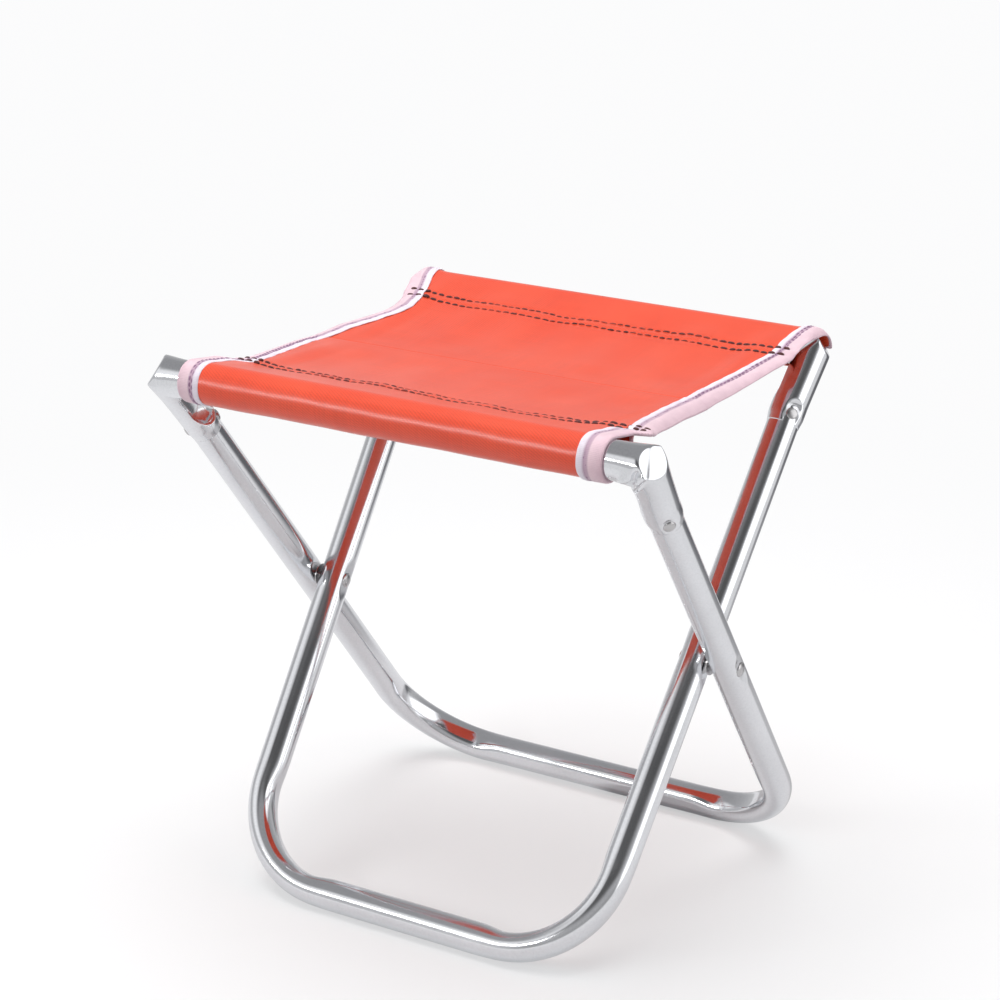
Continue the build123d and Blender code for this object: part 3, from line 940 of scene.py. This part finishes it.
def thread_material(name, dark, light, worn=None):
    """Twisted thread, with painted shade in the low bands of its twist. Where worn is given, the thread takes
    that colour here and there near x = 0.
    """
    material, tree, shader = new_material(name)
    coords = object_coords(tree)
    twist = node(tree, "ShaderNodeTexWave", Scale=900.0, Distortion=1.5, bands_direction="DIAGONAL")
    tree.links.new(coords, twist.inputs["Vector"])
    # painted shade: dark in the twist's low bands and light on its ridges, with the same bands as the bump
    colour = ramp(tree, twist.outputs["Fac"], [(0.2, dark), (0.8, light)])
    if worn is not None:
        aside = math_node(tree, "ABSOLUTE", split(tree, coords)[0])
        middle = smooth_range(tree, aside, 0.088, 0.060)
        uneven = ramp(tree, noise_at(tree, coords, 90, 2, 0.6), [(0.4, grey(0.0)), (0.6, grey(1.0))])
        colour = mix(tree, times(tree, middle, uneven), colour, worn)
    tree.links.new(colour, shader.inputs["Base Color"])
    shader.inputs["Roughness"].default_value = 0.55
    shader.inputs["Sheen Weight"].default_value = 0.15
    bump(tree, shader, twist.outputs["Fac"], 0.4, 0.0001)
    return material


def paint(piece, material):
    """Gives a piece its material, in a single slot."""
    piece.data.materials.clear()
    piece.data.materials.append(material)
    return piece


CHROME = plated_material("chromed_steel", (0.86, 0.87, 0.89), (0.085, 0.20))
RIVET = plated_material("rivet_plating", (0.60, 0.59, 0.59), (0.20, 0.34))
CLOTH = cloth_material()
TAPE = tape_material()
THREAD = thread_material("dark_thread", (0.040, 0.010, 0.012), (0.12, 0.030, 0.030),
                         worn=(0.30, 0.045, 0.030))
TAPE_THREAD = thread_material("mauve_thread", (0.20, 0.10, 0.18), (0.42, 0.26, 0.38))

# ---------------------------------------------------------------- the stool



def add_tube(piece, body, replaced):
    paint(piece, CHROME)
    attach(piece, body)
    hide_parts(replaced)


def add_rivets(name, pins, front, body):
    """The rivets of one CAD node; pins are lists of rings."""
    piece = tubes_mesh(name + "_formed", [stand(rings, front) for rings in pins])
    paint(piece, RIVET)
    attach(piece, body)
    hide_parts(name)


def arm_rivet_rings(width, front):
    """The two rivets through a rail's arms."""
    up = PIVOT_TO_RAIL - ARM_RIVET
    middle = leg_half(width, up)
    reach = RAIL_R - (FRONT_SEAT_DEPTH if front else REAR_SEAT_DEPTH)
    lift = FRONT_HEAD_LIFT if front else REAR_HEAD_LIFT
    return [rivet_rings(x - reach, x + reach, up, ARM_SHANK_R, ARM_HEAD_R, lift, ARM_TURN)
            for x in (middle, -middle)]


add_tube(leg_piece("outer_leg_tube_shaped", OUTER, True), "outer_frame", "outer_leg_tube")
add_tube(rail_piece("front_rail_tube_shaped", OUTER, True), "outer_frame", "front_rail_tube")
add_tube(leg_piece("inner_leg_tube_shaped", INNER, False), "inner_frame", "inner_leg_tube")
add_tube(rail_piece("rear_rail_tube_shaped", INNER, False), "inner_frame", "rear_rail_tube")
add_rivets("front_arm_rivets", arm_rivet_rings(OUTER, True), True, "outer_frame")
add_rivets("rear_arm_rivets", arm_rivet_rings(INNER, False), False, "inner_frame")
for side, label in ((1, "right"), (-1, "left")):
    inside = side * (leg_half(INNER, 0) - PIVOT_HEAD_SEAT)
    outside = side * (leg_half(OUTER, 0) + PIVOT_HEAD_SEAT)
    start, end = sorted((inside, outside))
    rings = rivet_rings(start, end, 0.0, PIVOT_SHANK_R, PIVOT_HEAD_R, PIVOT_HEAD_LIFT, 0.0)
    add_rivets(label + "_pivot_rivet", [rings], True, "outer_frame")
    paint(frame["nodes"][label + "_pivot_washer"], RIVET)



def tape_end(half):
    """How far the tapes run: round the front rail to its seam, and part of the way round the rear one."""
    if half.front:
        return half.s_close
    angles = half.angle[~half.top][:ROUND_POINTS]
    return float(np.interp(HOOD_END, angles, half.s[~half.top][:ROUND_POINTS]))


def add_seat_half(front, label):
    """One half of the seat: its cloth, two tapes with their stitches, and the sleeve's seam."""
    body = label + "_seat_half"
    half = Half(front)
    cloth = paint(cloth_piece(label + "_seat_cloth", half), CLOTH)
    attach(cloth, body)
    replaced = [label + "_sleeve", label + "_seat_panel"]
    if front:
        replaced.append("seat_middle_strip")
    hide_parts(*replaced)
    parts = []
    end = tape_end(half)
    for side, side_name in ((0, "left"), (1, "right")):
        name = f"{label}_{side_name}"
        tape = paint(tape_piece(name + "_tape", half, side, end), TAPE)
        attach(tape, body)
        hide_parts(name + "_binding")
        thread = paint(tape_stitches(name + "_tape_stitches", half, side, end), TAPE_THREAD)
        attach(thread, body)
        parts += [tape, thread]
    seam = paint(seam_stitches(label + "_seam_stitches", half), THREAD)
    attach(seam, body)
    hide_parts(label + "_sleeve_stitching")
    parts.append(seam)


add_seat_half(True, "front")
add_seat_half(False, "rear")

# ---------------------------------------------------------------- floor, light and camera

PALE = (0.97, 0.97, 0.975)  # the floor and room as the camera sees them


def window(tree, value, low, high, soft):
    """1 between low and high degrees, fading to 0 across each end."""
    rise = smooth_range(tree, value, low - soft, low + soft)
    fall = smooth_range(tree, value, high + soft, high - soft)
    return times(tree, rise, fall)


def floor_material():
    """Pale floor round the stool that runs out into the same pale tone as the room. Mirrored in the
    chrome it is darker, and darkest in one direction, as in a studio with dark flags."""
    material, tree, shader = new_material("pale_floor")
    coords = object_coords(tree)
    path = tree.nodes.new("ShaderNodeLightPath").outputs
    cloudy = noise_at(tree, coords, 3, 4, 0.5)
    pale = ramp(tree, cloudy, [(0.3, grey(0.86)), (0.7, grey(0.89))])
    pale = mix(tree, path["Is Glossy Ray"], pale, grey(0.74, 0.01))
    tree.links.new(pale, shader.inputs["Base Color"])
    shader.inputs["Roughness"].default_value = 0.7
    shader.inputs["Specular IOR Level"].default_value = 0.1
    flat = node(tree, "ShaderNodeEmission", Strength=1.0)
    azimuth = azimuth_of(tree, split(tree, coords))
    dim = mix(tree, window(tree, azimuth, 48, 88, 6), grey(0.76, 0.01), grey(0.14, 0.01))
    dim = mix(tree, path["Is Diffuse Ray"], dim, grey(0.40, 0.01))
    tree.links.new(mix(tree, path["Is Camera Ray"], dim, PALE), flat.inputs["Color"])
    distance = node(tree, "ShaderNodeVectorMath", operation="LENGTH")
    tree.links.new(coords, distance.inputs[0])
    far = smooth_range(tree, distance.outputs["Value"], 0.20, 0.85, 0.45)
    both = tree.nodes.new("ShaderNodeMixShader")
    tree.links.new(far, both.inputs[0])
    tree.links.new(shader.outputs[0], both.inputs[1])
    tree.links.new(flat.outputs[0], both.inputs[2])
    tree.links.new(both.outputs[0], tree.nodes["Material Output"].inputs["Surface"])
    return material


def disc(name, radius, height):
    """Round floor as rings of faces, in metres."""
    theta = np.linspace(0, 2 * math.pi, 96, endpoint=False)
    rings = np.array([[(r * math.cos(t), r * math.sin(t), height) for t in theta]
                      for r in (radius, radius * 0.4, radius * 0.12, 0.02, 0.0001)]) / MM
    return grid_mesh(name, rings, close_cols=True)


floor = disc("floor", 9.0, -0.0002)
floor.data.materials.append(floor_material())

bpy.context.scene.view_settings.view_transform = "Standard"
world = bpy.data.worlds.new("studio")
bpy.context.scene.world = world
world.use_nodes = True
tree = world.node_tree
background = tree.nodes["Background"]
direction = split(tree, tree.nodes.new("ShaderNodeTexCoord").outputs["Generated"])
azimuth = azimuth_of(tree, direction)
elevation = math_node(tree, "DEGREES", math_node(tree, "ARCSINE", direction[2]))


def patch(room, brightness, az, el, soft):
    """The room with a soft-edged area of another brightness, between two azimuths and two elevations."""
    inside = times(tree, window(tree, azimuth, *az, soft), window(tree, elevation, *el, soft))
    return mix(tree, inside, room, grey(brightness, brightness * 0.015))


# Brightness from below to above, as shares of the way up, then lit and dark panels round the stool
HEIGHTS = ((0.45, 0.50), (0.51, 0.54), (0.60, 0.42), (0.72, 0.33), (0.88, 0.32))
room = ramp(tree, add(tree, math_node(tree, "DIVIDE", elevation, 180.0), 0.5),
            [(place, grey(brightness, 0.01)) for place, brightness in HEIGHTS])
room = patch(room, 0.36, (-105, -18), (-6, 14), 5)
room = patch(room, 0.10, (-112, -16), (31, 52), 7)
room = patch(room, 1.50, (-14, 34), (-3, 43), 6)
room = patch(room, 0.92, (-168, -118), (17, 42), 7)
room = patch(room, 0.22, (50, 84), (-14, 4), 4)
path = tree.nodes.new("ShaderNodeLightPath").outputs
tree.links.new(mix(tree, path["Is Camera Ray"], room, PALE), background.inputs["Color"])
background.inputs["Strength"].default_value = 1.0


def area_light(name, place, target, size, power, mirrored=False):
    """A rectangular light. Only a mirrored one shows in the chrome."""
    data = bpy.data.lights.new(name, "AREA")
    data.shape = "RECTANGLE"
    data.size, data.size_y = size
    data.energy = power
    light = bpy.data.objects.new(name, data)
    bpy.context.scene.collection.objects.link(light)
    light.location = place
    light.rotation_mode = "QUATERNION"
    light.rotation_quaternion = (Vector(target) - Vector(place)).to_track_quat("-Z", "Y")
    light.visible_glossy = mirrored
    return light


MIDDLE = (0, 0, 0.15)
area_light("overhead", (-0.2, 0.1, 1.9), MIDDLE, (1.8, 1.8), 36)
area_light("front", (0.9, -2.0, 0.95), MIDDLE, (1.5, 0.6), 1.5)
area_light("sheen", (-0.95, -1.75, 0.86), (0, -0.1, 0.26), (1.1, 0.09), 11, True)

camera_data = bpy.data.cameras.new("camera")
camera = bpy.data.objects.new("camera", camera_data)
bpy.context.scene.collection.objects.link(camera)
bpy.context.scene.camera = camera
camera.location = (0.6466, -1.0782, 0.6282)
camera_target = Vector((0, -0.0411, 0.120))
camera.rotation_mode = "QUATERNION"
camera.rotation_quaternion = (camera_target - camera.location).to_track_quat("-Z", "Y")
camera_data.sensor_width = 36
camera_data.lens = 96.97
camera_data.shift_x = 0.0347
camera_data.shift_y = 0.1682
camera_data.clip_start = 0.05
camera_data.clip_end = 60
